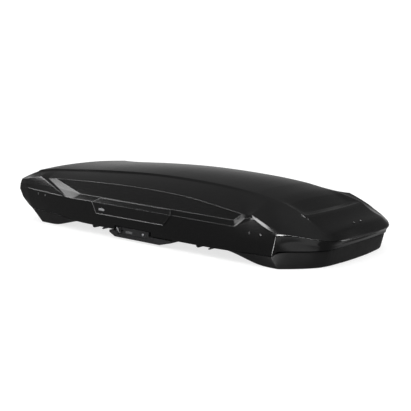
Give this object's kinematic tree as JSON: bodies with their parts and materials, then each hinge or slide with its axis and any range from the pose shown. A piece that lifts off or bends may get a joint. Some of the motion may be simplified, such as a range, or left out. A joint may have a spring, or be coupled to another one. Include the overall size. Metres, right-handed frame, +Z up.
{
  "type": "roof cargo box",
  "caption": "Long low roof box for a car: glossy faceted lid opening from either side over a shallow tray, with side locks and quick clamps for the roof bars.",
  "frame": {"origin": "on the ground plane under the middle of the box: the middle of the bounding box's lower face", "axes": "+X is the driving direction, towards the pointed nose; +Y is the vehicle's left; +Z is up"},
  "size_m": [2.21, 0.9312, 0.355],
  "materials": {
    "lid_plastic": "glossy black, thermoformed",
    "tray_plastic": "fine-grained black",
    "trim_plastic": "satin black moulding",
    "dark_plastic": "textured black",
    "rubber": "matte",
    "bright_steel": "zinc plated",
    "aluminium": "mill finish",
    "black_steel": "black powder coat"
  },
  "bodies": {
    "tray": {"tray_shell": "tray_plastic", "tray_rail_left": "black_steel", "tray_rail_right": "black_steel", "lock_housing_left": "dark_plastic", "lock_housing_right": "dark_plastic", "lock_bar_guides_left": "black_steel", "lock_bar_guides_right": "black_steel", "rim_seal": "rubber", "front_tray_bracket": "black_steel", "rear_tray_bracket": "black_steel", "front_tray_pin": "bright_steel", "rear_tray_pin": "bright_steel", "front_lifter_spring": "bright_steel", "rear_lifter_spring": "bright_steel", "cross_beam_front": "aluminium", "cross_beam_rear": "aluminium", "clamp_pads": "rubber", "clamp_housing_front_left": "dark_plastic", "clamp_housing_front_right": "dark_plastic", "clamp_housing_rear_left": "dark_plastic", "clamp_housing_rear_right": "dark_plastic"},
    "front_lifter": {"front_lifter_arm": "aluminium", "front_lifter_cover": "dark_plastic"},
    "rear_lifter": {"rear_lifter_arm": "aluminium", "rear_lifter_cover": "dark_plastic"},
    "lid": {"lid_shell": "lid_plastic", "lid_bow_front": "aluminium", "lid_bow_middle": "aluminium", "lid_bow_rear": "aluminium", "handle_plate_left": "trim_plastic", "handle_plate_right": "trim_plastic", "lid_rail_left": "black_steel", "lid_rail_right": "black_steel", "strikers_left": "bright_steel", "strikers_right": "bright_steel", "front_lid_bracket": "black_steel", "rear_lid_bracket": "black_steel", "front_lid_pin": "bright_steel", "rear_lid_pin": "bright_steel", "lid_rivets": "dark_plastic"},
    "lock_left": {"lock_slider_left": "dark_plastic", "lock_bar_left": "black_steel"},
    "key_left": {"key_cylinder_left": "bright_steel"},
    "lock_right": {"lock_slider_right": "dark_plastic", "lock_bar_right": "black_steel"},
    "key_right": {"key_cylinder_right": "bright_steel"},
    "knob_front_left": {"clamp_knob_front_left": "dark_plastic", "clamp_spindle_front_left": "bright_steel"},
    "jaw_front_left": {"clamp_jaw_front_left": "black_steel"},
    "knob_front_right": {"clamp_knob_front_right": "dark_plastic", "clamp_spindle_front_right": "bright_steel"},
    "jaw_front_right": {"clamp_jaw_front_right": "black_steel"},
    "knob_rear_left": {"clamp_knob_rear_left": "dark_plastic", "clamp_spindle_rear_left": "bright_steel"},
    "jaw_rear_left": {"clamp_jaw_rear_left": "black_steel"},
    "knob_rear_right": {"clamp_knob_rear_right": "dark_plastic", "clamp_spindle_rear_right": "bright_steel"},
    "jaw_rear_right": {"clamp_jaw_rear_right": "black_steel"}
  },
  "joints": [
    {"name": "right_side_opening", "type": "hinge", "parent": "tray", "child": "front_lifter", "pos_m": [0.54, 0.449, 0.056], "axis": [-1, 0, 0], "range_deg": [0, 45]},
    {"name": "left_side_opening", "type": "hinge", "parent": "front_lifter", "child": "lid", "pos_m": [0.54, -0.449, 0.056], "axis": [-1, 0, 0], "range_deg": [-45, 0]},
    {"name": "rear_arm_lift", "type": "hinge", "parent": "tray", "child": "rear_lifter", "pos_m": [-0.47, 0.449, 0.056], "axis": [-1, 0, 0], "range_deg": [0, 45]},
    {"name": "lock_slide_left", "type": "slide", "parent": "tray", "child": "lock_left", "axis": [1, 0, 0], "range_m": [0, 0.02]},
    {"name": "key_turn_left", "type": "hinge", "parent": "tray", "child": "key_left", "pos_m": [0.021, 0.452, 0.046], "axis": [0, 1, 0], "range_deg": [0, 90]},
    {"name": "lock_slide_right", "type": "slide", "parent": "tray", "child": "lock_right", "axis": [1, 0, 0], "range_m": [0, 0.02]},
    {"name": "key_turn_right", "type": "hinge", "parent": "tray", "child": "key_right", "pos_m": [0.021, -0.452, 0.046], "axis": [0, -1, 0], "range_deg": [0, 90]},
    {"name": "clamp_turn_front_left", "type": "hinge", "parent": "tray", "child": "knob_front_left", "pos_m": [0.391, 0.375, 0.08], "axis": [0, 0, 1], "range_deg": [0, 360]},
    {"name": "clamp_open_front_left", "type": "slide", "parent": "tray", "child": "jaw_front_left", "axis": [0, 0, -1], "range_m": [0, 0.015]},
    {"name": "clamp_turn_front_right", "type": "hinge", "parent": "tray", "child": "knob_front_right", "pos_m": [0.391, -0.375, 0.08], "axis": [0, 0, 1], "range_deg": [0, 360]},
    {"name": "clamp_open_front_right", "type": "slide", "parent": "tray", "child": "jaw_front_right", "axis": [0, 0, -1], "range_m": [0, 0.015]},
    {"name": "clamp_turn_rear_left", "type": "hinge", "parent": "tray", "child": "knob_rear_left", "pos_m": [-0.405, 0.375, 0.08], "axis": [0, 0, 1], "range_deg": [0, 360]},
    {"name": "clamp_open_rear_left", "type": "slide", "parent": "tray", "child": "jaw_rear_left", "axis": [0, 0, -1], "range_m": [0, 0.015]},
    {"name": "clamp_turn_rear_right", "type": "hinge", "parent": "tray", "child": "knob_rear_right", "pos_m": [-0.405, -0.375, 0.08], "axis": [0, 0, 1], "range_deg": [0, 360]},
    {"name": "clamp_open_rear_right", "type": "slide", "parent": "tray", "child": "jaw_rear_right", "axis": [0, 0, -1], "range_m": [0, 0.015]}
  ],
  "couplings": [
    {"joint": "rear_arm_lift", "follows": "right_side_opening", "ratio": 1},
    {"joint": "clamp_turn_front_left", "follows": "clamp_open_front_left", "rad_per_m": 418.88},
    {"joint": "clamp_turn_front_right", "follows": "clamp_open_front_right", "rad_per_m": 418.88},
    {"joint": "clamp_turn_rear_left", "follows": "clamp_open_rear_left", "rad_per_m": 418.88},
    {"joint": "clamp_turn_rear_right", "follows": "clamp_open_rear_right", "rad_per_m": 418.88}
  ]
}
